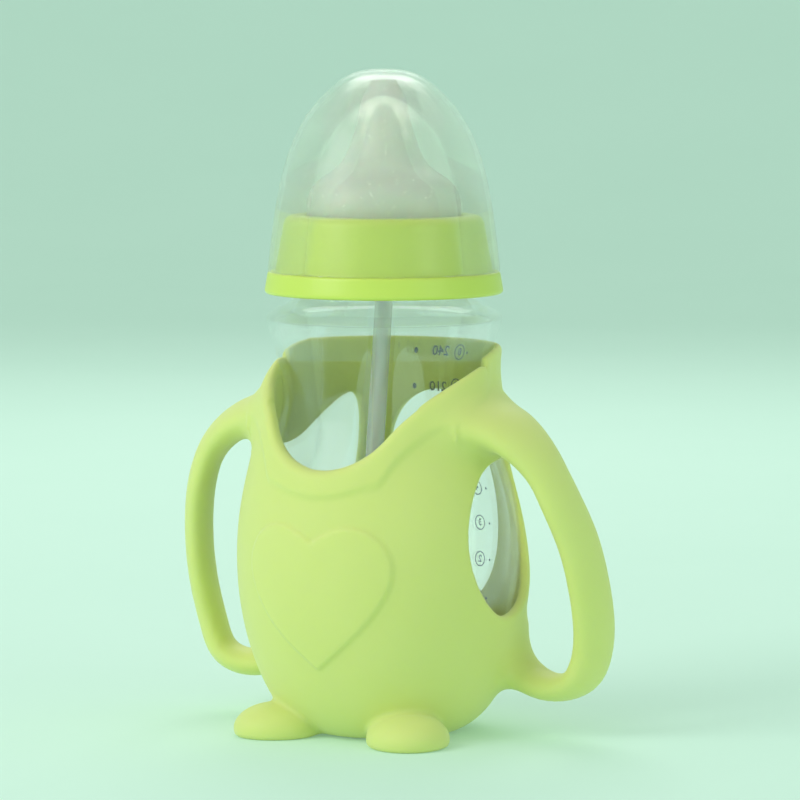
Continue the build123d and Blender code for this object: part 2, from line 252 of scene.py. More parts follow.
def new_object(name, vertices, faces, smooth=True):
    """A mesh object from millimetre vertices and faces."""
    mesh = bpy.data.meshes.new(name)
    mesh.from_pydata((np.asarray(vertices, float) * MM).tolist(), [], faces)
    mesh.validate()
    mesh.update()
    if smooth:
        mesh.shade_smooth()
    piece = bpy.data.objects.new(name, mesh)
    bpy.context.scene.collection.objects.link(piece)
    return piece


def lathe(name, outline, segments=160, push=None):
    """A solid turned about Z. Its outline starts and ends on the axis, or closes on itself."""
    outline = np.array(outline, float)
    radius, height = np.maximum(outline[:, 0], 0.0), outline[:, 1]
    closed = radius[0] > 1e-6
    if closed and np.linalg.norm(outline[0] - outline[-1]) < 1e-6:
        radius, height = radius[:-1], height[:-1]
    angles = np.arange(segments) * 2 * math.pi / segments
    vertices, rings = [], []
    for r, z in zip(radius, height):
        if r < 1e-6:
            rings.append([len(vertices)])
            vertices.append((0, 0, z))
            continue
        rs = np.full(segments, r) if push is None else r + push(r, z, angles)
        rings.append(list(range(len(vertices), len(vertices) + segments)))
        vertices += list(zip(rs * np.cos(angles), rs * np.sin(angles), np.full(segments, z)))
    faces = []
    pairs = list(zip(rings, rings[1:]))
    if closed:
        pairs.append((rings[-1], rings[0]))
    for a, b in pairs:
        for i in range(segments):
            j = (i + 1) % segments
            if len(a) == 1 and len(b) == 1:
                continue
            if len(a) == 1:
                faces.append((a[0], b[j], b[i]))
            elif len(b) == 1:
                faces.append((a[i], a[j], b[0]))
            else:
                faces.append((a[i], a[j], b[j], b[i]))
    return new_object(name, vertices, faces)


def sweep_ring(name, path, outer, inner, segments=28):
    """A tube with a wall, carried along a path of points."""
    path = np.array(path, float)
    along = np.gradient(path, axis=0)
    along /= np.linalg.norm(along, axis=1)[:, None]
    side = np.cross(along, (0, 1, 0))
    side /= np.linalg.norm(side, axis=1)[:, None]
    other = np.cross(along, side)
    angles = np.arange(segments) * 2 * math.pi / segments
    vertices = []
    for radius in (outer, inner):
        for p, s, o in zip(path, side, other):
            vertices += [p + (s * math.cos(t) + o * math.sin(t)) * radius for t in angles]
    n = len(path)
    faces = []
    for layer in (0, 1):
        base = layer * n * segments
        for k in range(n - 1):
            for i in range(segments):
                j = (i + 1) % segments
                a = base + k * segments
                quad = (a + i, a + j, a + segments + j, a + segments + i)
                faces.append(quad if layer else quad[::-1])
    for k, flip in ((0, False), (n - 1, True)):
        for i in range(segments):
            j = (i + 1) % segments
            o, q = k * segments, (n + k) * segments
            quad = (o + i, o + j, q + j, q + i)
            faces.append(quad[::-1] if flip else quad)
    return new_object(name, vertices, faces)


# ---------------------------------------------------------------- distance fields for the sleeve


def smooth_min(a, b, k):
    h = np.maximum(k - np.abs(a - b), 0) / k
    return np.minimum(a, b) - h * h * k / 4


def smooth_max(a, b, k):
    return -smooth_min(-a, -b, k)


def smooth_step(low, high, value):
    t = np.clip((value - low) / (high - low), 0, 1)
    return t * t * (3 - 2 * t)


class FlatField:
    """The signed distance to a closed outline, negative inside, read between the points of a grid."""

    def __init__(self, outline, margin=22.0, step=0.35):
        outline = np.array(outline, float)
        self.low = outline.min(0) - margin
        self.step = step
        counts = np.ceil((outline.max(0) + margin - self.low) / step).astype(int) + 1
        xs = self.low[0] + np.arange(counts[0]) * step
        ys = self.low[1] + np.arange(counts[1]) * step
        x, y = np.meshgrid(xs, ys, indexing="ij")
        nearest = np.full(x.shape, np.inf)
        inside = np.zeros(x.shape, bool)
        for a, b in zip(outline, np.roll(outline, -1, axis=0)):
            edge = b - a
            length = edge @ edge
            if length < 1e-12:
                continue
            t = np.clip(((x - a[0]) * edge[0] + (y - a[1]) * edge[1]) / length, 0, 1)
            nearest = np.minimum(nearest, (x - a[0] - t * edge[0]) ** 2 + (y - a[1] - t * edge[1]) ** 2)
            spans = (a[1] > y) != (b[1] > y)
            if abs(edge[1]) > 1e-12:
                inside ^= spans & (x < a[0] + (y - a[1]) * edge[0] / edge[1])
        self.values = np.sqrt(nearest) * np.where(inside, -1, 1)

    def __call__(self, x, y):
        u = np.clip((x - self.low[0]) / self.step, 0, self.values.shape[0] - 1.001)
        v = np.clip((y - self.low[1]) / self.step, 0, self.values.shape[1] - 1.001)
        i, j = u.astype(int), v.astype(int)
        u, v = u - i, v - j
        table = self.values
        return (
            table[i, j] * (1 - u) * (1 - v)
            + table[i + 1, j] * u * (1 - v)
            + table[i, j + 1] * (1 - u) * v
            + table[i + 1, j + 1] * u * v
        )


def gourd(count=160):
    """The outside of the glass, from the edge of its base to the root of its neck."""
    points = [BASE, HEEL, BELLY, FLANK, WAIST, SHOULDER, NECK_ROOT]
    return spline(points, count, start=(1.0, 0.42), end=(-1.0, 0.42))


def leaf(points, count=120):
    """A closed smooth outline through the points."""
    wrapped = points[-3:] + points + points[:4]
    return spline(wrapped, count + 1, span=(3, 3 + len(points)))[:-1]


def side_leaf():
    low = SIDE_WINDOW_LOW
    rise = WAIST[1] - 2.0 - low
    shape = [
        (-25.0, 0.39), (-22.3, 0.15), (-13.5, 0.0), (-1.0, 0.03), (11.0, 0.18), (18.6, 0.45),
        (19.2, 0.76), (14.5, 1.0), (6.5, 0.89), (-2.0, 0.79), (-13.5, 0.74), (-21.3, 0.60),
    ]
    return leaf([(u, low + k * rise) for u, k in shape])


def back_leaf():
    low = BACK_WINDOW_LOW
    rise = WAIST[1] - 1.0 - low
    half = [(12.0, 0.11), (17.4, 0.37), (15.6, 0.70), (9.0, 0.94)]
    right = [(u, low + k * rise) for u, k in half]
    left = [(-u, z) for u, z in reversed(right)]
    return leaf([(0, low)] + right + [(0, low + rise)] + left)


def heart_outline():
    half, tip = 20.8, 20.0
    top = tip + 37.6
    notch = (0, top - 4.1)
    right = [
        (half * 0.22, top - 1.4), (half * 0.54, top), (half * 0.88, top - 3.9),
        (half, top - 10.6), (half * 0.88, top - 18.8), (half * 0.52, top - 28.2),
    ]
    side = spline([notch] + right + [(0, tip)], 60)
    return np.concatenate([side, side[::-1][1:-1] * (-1, 1)])


def handle_line(count=140):
    """The centre of the +X handle, from its upper root to its lower root."""
    reach, low = HANDLE_REACH, HANDLE_LOW
    rise = HANDLE_HIGH - low
    return spline(
        [
            (WAIST[0] + 2.3, -2.2, low + rise),
            (reach - 15.6, -5.1, low + 0.945 * rise),
            (reach - 9.2, -5.0, low + 0.853 * rise),
            (reach - 5.0, -3.5, low + 0.731 * rise),
            (reach - 1.7, -0.1, low + 0.578 * rise),
            (reach - 0.2, 2.9, low + 0.429 * rise),
            (reach, 5.9, low + 0.281 * rise),
            (reach - 1.3, 8.0, low + 0.144 * rise),
            (reach - 4.9, 8.3, low + 0.037 * rise),
            (reach - 11.6, 8.9, low),
            (reach - 19.5, 9.9, low + 0.020 * rise),
            (BELLY[0] - 8.5, 11.5, low + 0.150 * rise),
        ],
        count,
    )


class Sleeve:
    """The silicone sleeve as one distance field: shell, lip, heart, handles, feet and windows."""

    WINDOW_TURN = math.radians(105.0)

    def __init__(self):
        body = [(0, GLASS_BOTTOM)] + list(gourd()) + [(NECK_ROOT[0], NECK_TOP), (0, NECK_TOP)]
        self.glass = FlatField(body, margin=26.0)
        self.side_window = FlatField(side_leaf())
        self.back_window = FlatField(back_leaf())
        self.heart = FlatField(heart_outline())
        line = handle_line()
        self.line = line
        along = np.gradient(line, axis=0)
        self.along = along / np.linalg.norm(along, axis=1)[:, None]
        wide = np.array([math.sin(HANDLE_TILT), math.cos(HANDLE_TILT), 0.0])
        wide = wide - self.along * (self.along @ wide)[:, None]
        self.wide = wide / np.linalg.norm(wide, axis=1)[:, None]
        share = np.linspace(0, 1, len(line))
        upper = np.maximum(0.0, 1.0 - share / 0.25) ** 1.6
        lower = np.maximum(0.0, (share - 0.86) / 0.14) ** 1.6
        width_growth = ROOT_WIDTH - HANDLE_WIDTH
        thickness_growth = ROOT_THICKNESS - HANDLE_THICKNESS
        self.half_width = (HANDLE_WIDTH + width_growth * upper + HANDLE_FOOT_GROWTH * lower) / 2
        self.half_thick = (HANDLE_THICKNESS + thickness_growth * upper + HANDLE_FOOT_GROWTH * lower) / 2
        scoop = [
            (0, -1.0), (0.229, -0.954), (0.352, -0.888), (0.463, -0.789),
            (0.568, -0.641), (0.686, -0.493), (0.80, -0.36), (1.0, 0.016),
        ]
        half = [(u * SCOOP_HALF_WIDTH, RIM_HEIGHT + k * SCOOP_DEPTH) for u, k in scoop]
        mirrored = [(-x, z) for x, z in reversed(half[1:])]
        self.scoop = spline(mirrored + half, 301)[150:]
        climb = [
            (-24.0, -0.437), (-16.4, -0.329), (-12.6, -0.26), (-7.5, -0.19),
            (-2.5, -0.115), (4.0, -0.035), (9.5, 0.013),
        ]
        self.climb = spline([(y, RIM_HEIGHT + k * SCOOP_DEPTH) for y, k in climb], 200)

    def above_rim(self, x, y, z):
        """How far a point is above the rim: the scoop in front, the climb at the sides, level behind."""
        nudge = 0.2
        result = z - RIM_HEIGHT
        for place, curve, where in ((x, self.scoop, y < 0), (y, self.climb, y < 9.5)):
            height = np.interp(place, curve[:, 0], curve[:, 1])
            slope = np.interp(place + nudge, curve[:, 0], curve[:, 1]) - height
            over = (z - height) / np.hypot(1.0, slope / nudge)
            result = np.where(where, smooth_max(result, over, 1.5), result)
        return result

    def clearance(self, z):
        from_widest = (z - RELIEF_HEIGHT) / RELIEF_SPREAD
        return SLEEVE_GAP + WAIST_RELIEF * np.exp(-from_widest * from_widest)

    def handle(self, x, y, z):
        """The distance to the +X handle: an oval at the nearest point of its centre line."""
        result = np.full(x.shape, 30.0)
        near = (x > 22) & (z < 100)
        if not near.any():
            return result
        points = np.stack([x[near], y[near], z[near]], 1)
        best = np.full(len(points), np.inf)
        pick = np.zeros(len(points), int)
        for i, centre in enumerate(self.line):
            d = ((points - centre) ** 2).sum(1)
            closer = d < best
            best[closer] = d[closer]
            pick[closer] = i
        delta = points - self.line[pick]
        t = self.along[pick]
        slide = (delta * t).sum(1)
        step = np.linalg.norm(self.line[1] - self.line[0])
        position = np.clip(pick + slide / step, 0, len(self.line) - 1)
        index = np.arange(len(self.line))
        centre = np.stack([np.interp(position, index, self.line[:, k]) for k in range(3)], 1)
        w = np.stack([np.interp(position, index, self.wide[:, k]) for k in range(3)], 1)
        t = np.stack([np.interp(position, index, self.along[:, k]) for k in range(3)], 1)
        delta = points - centre
        n = np.cross(t, w)
        u, v, along = (delta * w).sum(1), (delta * n).sum(1), (delta * t).sum(1)
        a = np.interp(position, index, self.half_width)
        b = np.interp(position, index, self.half_thick)
        k0 = np.sqrt((u / a) ** 2 + (v / b) ** 2)
        k1 = np.sqrt((u / a**2) ** 2 + (v / b**2) ** 2)
        oval = np.where(k1 > 1e-9, k0 * (k0 - 1) / np.maximum(k1, 1e-9), -b)
        result[near] = np.hypot(np.maximum(oval, 0), along) + np.minimum(oval, 0)
        return result

    def foot(self, x, y, z):
        """The distance to the +X foot, an egg that points outwards and forwards."""
        dx, dy, dz = x - FOOT_CENTRE[0], y - FOOT_CENTRE[1], z - FOOT_CENTRE[2]
        along = dx * math.sin(FOOT_SPLAY) - dy * math.cos(FOOT_SPLAY)
        across = dx * math.cos(FOOT_SPLAY) + dy * math.sin(FOOT_SPLAY)
        half_length, half_width, half_height = FOOT_HALF_SIZE
        a, b, c = half_length, half_width - 0.05 * along, half_height
        k0 = np.sqrt((along / a) ** 2 + (across / b) ** 2 + (dz / c) ** 2)
        k1 = np.sqrt((along / a**2) ** 2 + (across / b**2) ** 2 + (dz / c**2) ** 2)
        return np.where(k1 > 1e-9, k0 * (k0 - 1) / np.maximum(k1, 1e-9), -c)

    def __call__(self, points):
        x, y, z = np.abs(points[:, 0]), points[:, 1], points[:, 2]
        r = np.hypot(x, y)
        glass = self.glass(r, z)
        gap = self.clearance(z)
        share = np.clip((z - WAIST[1]) / (RIM_HEIGHT - WAIST[1]), 0, 1)
        wall = SLEEVE_WALL + (SLEEVE_RIM_WALL - SLEEVE_WALL) * share
        outside = glass - gap - wall
        front = y < 0
        above = self.above_rim(x, y, z)
        outside = outside - LIP_RAISE * smooth_step(-7.6, -5.6, above) * smooth_step(4.0, -6.0, y)
        heart = self.heart(x, z)
        outside = outside - HEART_RAISE * smooth_step(0.5, -0.5, heart) * front
        sole = np.maximum(r - SOLE_RADIUS, np.abs(z - 1.5) - 1.5)
        solid = smooth_min(outside, sole, 1.2)
        solid = smooth_max(solid, above, 2.6)
        turn = self.WINDOW_TURN
        u = x * math.cos(turn) + y * math.sin(turn)
        ahead = x * math.sin(turn) - y * math.cos(turn)
        side = np.where(ahead > 0, self.side_window(u, z), 9.0)
        back = np.where(y > 0, self.back_window(x, z), 9.0)
        solid = smooth_max(solid, WINDOW_ROUND - side, 1.6)
        solid = smooth_max(solid, WINDOW_ROUND - back, 1.6)
        solid = smooth_min(solid, self.handle(x, y, z), 7.0)
        solid = smooth_min(solid, self.foot(x, y, z), 2.2)
        solid = smooth_max(solid, -(glass - gap), 0.7)
        return smooth_max(solid, -z, 1.0)


def surface_net(field, low, step):
    """Vertices and quads of the zero surface of a field sampled on a grid."""
    inside = field < 0
    size = np.array(field.shape)
    count = np.zeros(size - 1, np.int8)
    corners = [(i, j, k) for i in (0, 1) for j in (0, 1) for k in (0, 1)]
    for i, j, k in corners:
        count += inside[i : size[0] - 1 + i, j : size[1] - 1 + j, k : size[2] - 1 + k]
    cells = np.argwhere((count > 0) & (count < 8))
    number = np.full(size - 1, -1, np.int64)
    number[tuple(cells.T)] = np.arange(len(cells))
    total = np.zeros((len(cells), 3))
    hits = np.zeros(len(cells))
    for axis in range(3):
        others = [a for a in range(3) if a != axis]
        for i in (0, 1):
            for j in (0, 1):
                start = np.zeros(3, int)
                start[others[0]], start[others[1]] = i, j
                end = start.copy()
                end[axis] = 1
                f0 = field[tuple((cells + start).T)]
                f1 = field[tuple((cells + end).T)]
                cut = (f0 < 0) != (f1 < 0)
                t = np.where(cut, f0 / np.where(cut, f0 - f1, 1), 0)
                place = np.tile(start.astype(float), (len(cells), 1))
                place[:, axis] = t
                total[cut] += place[cut]
                hits[cut] += 1
    vertices = low + (cells + total / hits[:, None]) * step
    faces = []
    for axis in range(3):
        b, c = [a for a in range(3) if a != axis]
        first = [slice(None)] * 3
        second = [slice(None)] * 3
        first[axis], second[axis] = slice(0, -1), slice(1, None)
        change = inside[tuple(first)] != inside[tuple(second)]
        spots = np.argwhere(change)
        spots = spots[(spots[:, b] > 0) & (spots[:, c] > 0)]
        spots = spots[(spots[:, b] < size[b] - 1) & (spots[:, c] < size[c] - 1)]
        step_b, step_c = np.eye(3, dtype=int)[b], np.eye(3, dtype=int)[c]
        around = (spots, spots - step_b, spots - step_b - step_c, spots - step_c)
        quad = np.stack([number[tuple(s.T)] for s in around], 1)
        outward = inside[tuple(spots.T)]
        if axis == 1:
            outward = ~outward
        quad[~outward] = quad[~outward][:, ::-1]
        faces.append(quad)
    return vertices, np.concatenate(faces)


def settled(shape, vertices, rounds=3, nudge=0.05):
    """Vertices moved on to the field's zero surface."""
    for _ in range(rounds):
        value = shape(vertices)
        slope = np.empty_like(vertices)
        for axis in range(3):
            shift = np.zeros(3)
            shift[axis] = nudge
            slope[:, axis] = (shape(vertices + shift) - shape(vertices - shift)) / (2 * nudge)
        steep = np.maximum((slope**2).sum(1), 0.2)
        move = np.clip(value / steep, -0.4, 0.4)
        vertices = vertices - slope * move[:, None]
    return vertices


def make_sleeve(step):
    shape = Sleeve()
    low = np.array([0.0, sleeve_low[1] - 3, -2.0])
    high = np.array([sleeve_high[0] + 3, sleeve_high[1] + 3, RIM_HEIGHT + 3])
    counts = np.ceil((high - low) / step).astype(int)
    axes = [low[i] + np.arange(counts[i]) * step for i in range(3)]
    half = np.empty(counts)
    y, z = np.meshgrid(axes[1], axes[2], indexing="ij")
    for i, x in enumerate(axes[0]):
        points = np.stack([np.full(y.size, x), y.ravel(), z.ravel()], 1)
        half[i] = shape(points).reshape(y.shape)
    field = np.concatenate([half[:0:-1], half])
    low[0] = -axes[0][-1]
    vertices, faces = surface_net(field, low, step)
    vertices = settled(shape, vertices)
    return new_object("sleeve", vertices, faces.tolist())


# ---------------------------------------------------------------- turned pieces


def thread_push(turns, start, sign, low_radius, high_radius):
    """A helical ridge for lathe(): it raises the rings whose radius lies between two values."""

    def push(r, z, angles):
        if not low_radius < r < high_radius:
            return np.zeros_like(angles)
        raised = np.zeros_like(angles)
        for turn in range(int(math.ceil(turns)) + 1):
            progress = angles / (2 * math.pi) + turn
            centre = start + progress * THREAD_PITCH
            ends = smooth_step(0, 0.05, progress) * smooth_step(turns, turns - 0.05, progress)
            profile = smooth_step(1.35, 0.65, np.abs(z - centre))
            raised = np.maximum(raised, profile * ends)
        return sign * THREAD_DEPTH * raised

    return push


def make_glass():
    outer = gourd(150)
    inner = offset(outer, -GLASS_WALL)
    lowest = GLASS_BOTTOM + GLASS_FLOOR
    inner = inner[(inner[:, 1] > lowest + 0.8) & (inner[:, 1] < NECK_ROOT[1] - 2.0)]
    inner_radius = NECK_RADIUS - GLASS_WALL
    neck_start = NECK_ROOT[1] + 1.6
    neck = rounded(
        [
            outer[-1],
            (NECK_RADIUS, neck_start),
            (NECK_RADIUS, NECK_TOP),
            (inner_radius, NECK_TOP),
            (inner_radius, neck_start + 1.0),
            inner[-1],
        ],
        [0.8, 1.0, 1.0, 3.0],
        steps=6,
    )
    neck = densified(neck, 0.35)
    punt = [
        (0, GLASS_BOTTOM + 0.8),
        (BASE[0] - 5, GLASS_BOTTOM + 0.6),
        (BASE[0] - 3.5, GLASS_BOTTOM),
        outer[0],
    ]
    base = rounded(punt, 1.5)
    floor = rounded([inner[0], (inner[0][0] - 3.0, lowest + 0.1), (0, lowest + 0.9)], 3.0)
    outline = base + list(outer[1:-1]) + neck + list(inner[::-1][1:-1]) + floor
    push = thread_push(GLASS_THREAD_TURNS, THREAD_START, 1, NECK_RADIUS - 0.01, NECK_RADIUS + 0.01)
    return lathe("glass", outline, segments=192, push=push)


def make_collar():
    bore = NECK_RADIUS + THREAD_DEPTH + THREAD_PLAY
    major = NECK_RADIUS + THREAD_DEPTH
    flange_top = COLLAR_BOTTOM + 5.8
    flange = collar_high[0]
    shoulder = CAP_RADIUS - CAP_WALL - CAP_SEAT_GAP
    top_radius = major + 1.2
    hole = NECK_RADIUS - COLLAR_LIP
    plate = COLLAR_TOP - 2.2
    outline = rounded(
        [
            (bore, (COLLAR_BOTTOM + plate) / 2),
            (bore, COLLAR_BOTTOM),
            (flange, COLLAR_BOTTOM),
            (flange - 1.0, flange_top),
            (shoulder, flange_top),
            (top_radius + 0.2, COLLAR_TOP),
            (hole, COLLAR_TOP),
            (hole, plate),
            (major, plate),
            (major, plate - 1.6),
            (bore, plate - 3.0),
            (bore, (COLLAR_BOTTOM + plate) / 2),
        ],
        [0.6, 0.9, 0.9, 0.5, 2.6, 0.8, 0.3, 0.2, 0.2, 0.4],
        steps=6,
    )
    outline = densified(outline, 0.5)
    start = THREAD_START + THREAD_PITCH / 2
    push = thread_push(COLLAR_THREAD_TURNS, start, -1, bore - 0.01, bore + 0.01)
    return lathe("collar", outline, segments=192, push=push)


def teat_side(inset, count=90):
    base = COLLAR_TOP + 1.0
    radius = NECK_RADIUS - COLLAR_LIP - TEAT_HOLE_GAP
    neck_height = COLLAR_TOP + 19.9
    top = TEAT_TOP - inset
    return spline(
        [
            (radius - inset, base),
            (radius - 2.6 - inset, base + 7.5),
            (radius - 8.1 - inset * 0.9, base + 11.6 - inset * 0.35),
            (8.3 - inset, neck_height),
            (6.5 - inset, neck_height + 6.7),
            (5.4 - inset, TEAT_TOP - 4.4),
            ((5.4 - inset) * 0.62, top - 0.5),
            (0, top),
        ],
        count,
        start=(0, 1),
        end=(-1, 0),
    )


def make_teat():
    rim = NECK_RADIUS + THREAD_DEPTH - 0.6
    radius = NECK_RADIUS - COLLAR_LIP - TEAT_HOLE_GAP
    inner = radius - TEAT_WALL
    flange_top = TEAT_BOTTOM + 1.6
    foot = rounded(
        [
            (inner, TEAT_BOTTOM),
            (rim, TEAT_BOTTOM),
            (rim, flange_top),
            (radius, flange_top),
            (radius, COLLAR_TOP + 1.0),
        ],
        [0.3, 0.5, 0.3],
    )
    outside, inside = teat_side(0), teat_side(TEAT_WALL)
    outline = [(inner, TEAT_BOTTOM + 2.0)] + foot + list(outside[1:]) + list(inside[::-1])
    # The outline touches the axis at the tip, so it starts and ends there.
    tip = len(foot) + len(outside)
    return lathe("teat_skin", outline[tip:] + outline[:tip], segments=144)


def dome_side(inset, count=110):
    rise = CAP_TOP - CAP_BOTTOM
    radius = CAP_RADIUS
    return spline(
        [
            (radius - inset, CAP_BOTTOM),
            (radius - 0.3 - inset, CAP_BOTTOM + rise * 0.07),
            (radius - 3.1 - inset, CAP_BOTTOM + rise * 0.426),
            (radius - 8.8 - inset * 0.85, CAP_BOTTOM + rise * 0.729 - inset * 0.4),
            (radius - 13.9 - inset * 0.7, CAP_BOTTOM + rise * 0.858 - inset * 0.7),
            (radius - 20.2 - inset * 0.35, CAP_BOTTOM + rise * 0.958 - inset * 0.95),
            (0, CAP_TOP - inset),
        ],
        count,
        start=(0, 1),
        end=(-1, 0),
    )


def make_cap():
    outside, inside = dome_side(0), dome_side(CAP_WALL)
    outline = list(inside[::-1]) + list(outside)
    return lathe("cap", outline, segments=192)


def make_straw():
    """The soft tube: straight off the nozzle, one gentle bend, straight to the weight."""
    top = adapter_low[2] + 9.0
    bend_top = adapter_low[2] - 0.5
    bend_radius, lean, drop = 90.0, math.radians(4.0), 84.0
    path = [(0, 0, z) for z in np.linspace(top, bend_top, 12)[:-1]]
    for s in np.linspace(0, lean, 8):
        path.append((-bend_radius * (1 - math.cos(s)), 0, bend_top - bend_radius * math.sin(s)))
    last = np.array(path[-1])
    run = np.array([-math.sin(lean), 0, -math.cos(lean)])
    path += [tuple(last + run * d) for d in np.linspace(0, drop, 50)[1:]]
    return sweep_ring("straw", path, STRAW_RADIUS, STRAW_BORE_RADIUS, segments=32)


# ---------------------------------------------------------------- the scale printed on the glass


def figures(text, size):
    """The corners and faces of a line of figures, thin and flat, about its own middle."""
    curve = bpy.data.curves.new("figures", "FONT")
    curve.body = text
    curve.size = size * MM
    curve.align_x = "CENTER"
    curve.align_y = "CENTER"
    curve.resolution_u = 3
    curve.offset = 0.00006
    curve.extrude = 0.00002
    source = bpy.data.objects.new("figures", curve)
    bpy.context.scene.collection.objects.link(source)
    mesh = bpy.data.meshes.new_from_object(source.evaluated_get(bpy.context.evaluated_depsgraph_get()))
    bpy.data.objects.remove(source)
    co = np.array([v.co for v in mesh.vertices]) / MM
    faces = [tuple(p.vertices) for p in mesh.polygons]
    bpy.data.meshes.remove(mesh)
    return co, faces


def glass_radius(z):
    outline = gourd(400)
    return np.interp(z, outline[:, 1], outline[:, 0])


def make_print():
    """Two columns on the back of the glass: dots with plain figures, and ovals with figures."""
    vertices, faces = [], []

    def add(co, polygons, turn, height):
        base = len(vertices)
        z = height + co[:, 1]
        radius = glass_radius(z) + 0.05 + np.clip(co[:, 2], -0.02, 0.02)
        angle = math.radians(turn) + co[:, 0] / glass_radius(height)
        vertices.extend(zip(radius * np.sin(angle), -radius * np.cos(angle), z))
        faces.extend([tuple(base + i for i in p) for p in polygons])

    def ring(rx, ry, width, segments=28):
        angles = np.arange(segments) * 2 * math.pi / segments
        co, polygons = [], []
        for z in (-0.02, 0.02):
            for k in (1.0, 1.0 - width / rx):
                co += [(rx * k * math.cos(t), ry * k * math.sin(t), z) for t in angles]
        for i in range(segments):
            j = (i + 1) % segments
            n = segments
            polygons.append((2 * n + i, 2 * n + j, 3 * n + j, 3 * n + i))
            polygons.append((i, n + i, n + j, j))
            polygons.append((i, j, 2 * n + j, 2 * n + i))
            polygons.append((n + i, 3 * n + i, 3 * n + j, n + j))
        return np.array(co), polygons

    levels = range(30, 241, 30)
    for level in levels:
        height = 16.0 + (level / 240.0) ** 0.92 * 82.0
        co, polygons = ring(0.5, 0.8, 0.499)
        add(co, polygons, 191.0, height)
        co, polygons = figures(str(level), 3.6)
        add(co, polygons, 176.0, height)
    for ounce in range(1, 9):
        height = 20.0 + (ounce / 8.0) ** 0.92 * 78.0
        co, polygons = ring(1.9, 2.1, 0.32)
        add(co, polygons, 163.0, height)
        co, polygons = figures(str(ounce), 2.6)
        add(co, polygons, 163.0, height)
        co, polygons = ring(0.35, 0.35, 0.349)
        add(co, polygons, 157.0, height)
    return new_object("graduation_print", vertices, faces, smooth=False)


# ---------------------------------------------------------------- materials


def srgb(r, g, b):
    def line(c):
        c = c / 255.0
        return c / 12.92 if c <= 0.04045 else ((c + 0.055) / 1.055) ** 2.4

    return (line(r), line(g), line(b), 1.0)


class Material:
    """A Principled material whose colour, roughness and bump come from small procedural patterns."""

    def __init__(self, name):
        self.material = bpy.data.materials.new(name)
        self.material.use_nodes = True
        self.nodes = self.material.node_tree.nodes
        self.links = self.material.node_tree.links
        self.shader = self.nodes["Principled BSDF"]
        self.place = self.nodes.new("ShaderNodeTexCoord").outputs["Object"]

    def set(self, **values):
        for key, value in values.items():
            self.shader.inputs[key.replace("_", " ")].default_value = value
        return self

    def noise(self, scale, detail=3.0, stretch=None):
        """Soft noise; the scale is in waves per metre."""
        place = self.place
        if stretch:
            mapping = self.nodes.new("ShaderNodeMapping")
            mapping.inputs["Scale"].default_value = stretch
            self.links.new(place, mapping.inputs["Vector"])
            place = mapping.outputs["Vector"]
        node = self.nodes.new("ShaderNodeTexNoise")
        node.inputs["Scale"].default_value = scale
        node.inputs["Detail"].default_value = detail
        self.links.new(place, node.inputs["Vector"])
        return node.outputs["Fac"]

    def mix_colour(self, factor, first, second):
        node = self.nodes.new("ShaderNodeMix")
        node.data_type = "RGBA"
        self.links.new(factor, node.inputs["Factor"])
        node.inputs["A"].default_value = first
        node.inputs["B"].default_value = second
        self.links.new(node.outputs["Result"], self.shader.inputs["Base Color"])

    def mix_value(self, factor, low, high, target):
        node = self.nodes.new("ShaderNodeMapRange")
        node.inputs["To Min"].default_value = low
        node.inputs["To Max"].default_value = high
        self.links.new(factor, node.inputs["Value"])
        self.links.new(node.outputs["Result"], self.shader.inputs[target])

    def bump(self, height, distance, strength=1.0):
        node = self.nodes.new("ShaderNodeBump")
        node.inputs["Distance"].default_value = distance
        node.inputs["Strength"].default_value = strength
        self.links.new(height, node.inputs["Height"])
        self.links.new(node.outputs["Normal"], self.shader.inputs["Normal"])


def silicone_material():
    m = Material("sleeve_silicone")
    m.set(Subsurface_Weight=0.4, Subsurface_Scale=0.005, IOR=1.43, Specular_IOR_Level=0.3)
    m.set(Subsurface_Radius=(0.9, 1.0, 0.35), Sheen_Weight=0.15, Sheen_Roughness=0.5)
    m.mix_colour(m.noise(38.0), srgb(222, 227, 136), srgb(227, 231, 146))
    m.mix_value(m.noise(900.0), 0.50, 0.60, "Roughness")
    m.bump(m.noise(2600.0, 4.0), 0.00003, 0.5)
    return m.material


def collar_material():
    m = Material("green_pp")
    m.set(Subsurface_Weight=0.2, Subsurface_Scale=0.004, Subsurface_Radius=(0.9, 1.0, 0.3), IOR=1.49)
    m.mix_colour(m.noise(30.0), srgb(210, 228, 98), srgb(216, 231, 108))
    m.mix_value(m.noise(500.0), 0.30, 0.38, "Roughness")
    m.bump(m.noise(1400.0), 0.00002, 0.4)
    return m.material


def glass_material():
    m = Material("clear_glass")
    m.set(Transmission_Weight=1.0, IOR=1.47, Alpha=0.14)
    m.mix_colour(m.noise(20.0), srgb(252, 254, 254), srgb(255, 255, 255))
    m.mix_value(m.noise(60.0), 0.0, 0.012, "Roughness")
    m.bump(m.noise(45.0, 1.0), 0.0001, 0.2)
    return m.material


def cap_material():
    m = Material("clear_pp")
    m.set(Transmission_Weight=0.9, IOR=1.40, Alpha=0.36)
    m.mix_colour(m.noise(25.0), srgb(250, 250, 236), srgb(253, 253, 242))
    m.mix_value(m.noise(300.0), 0.16, 0.22, "Roughness")
    m.bump(m.noise(60.0, 1.0), 0.0001, 0.12)
    return m.material


def teat_material():
    m = Material("teat_silicone")
    m.set(Transmission_Weight=0.35, IOR=1.41, Alpha=0.62, Subsurface_Weight=0.3, Subsurface_Scale=0.004)
    m.mix_colour(m.noise(60.0), srgb(250, 250, 240), srgb(254, 254, 248))
    m.mix_value(m.noise(700.0), 0.22, 0.30, "Roughness")
    m.bump(m.noise(1500.0), 0.00003, 0.4)
    return m.material


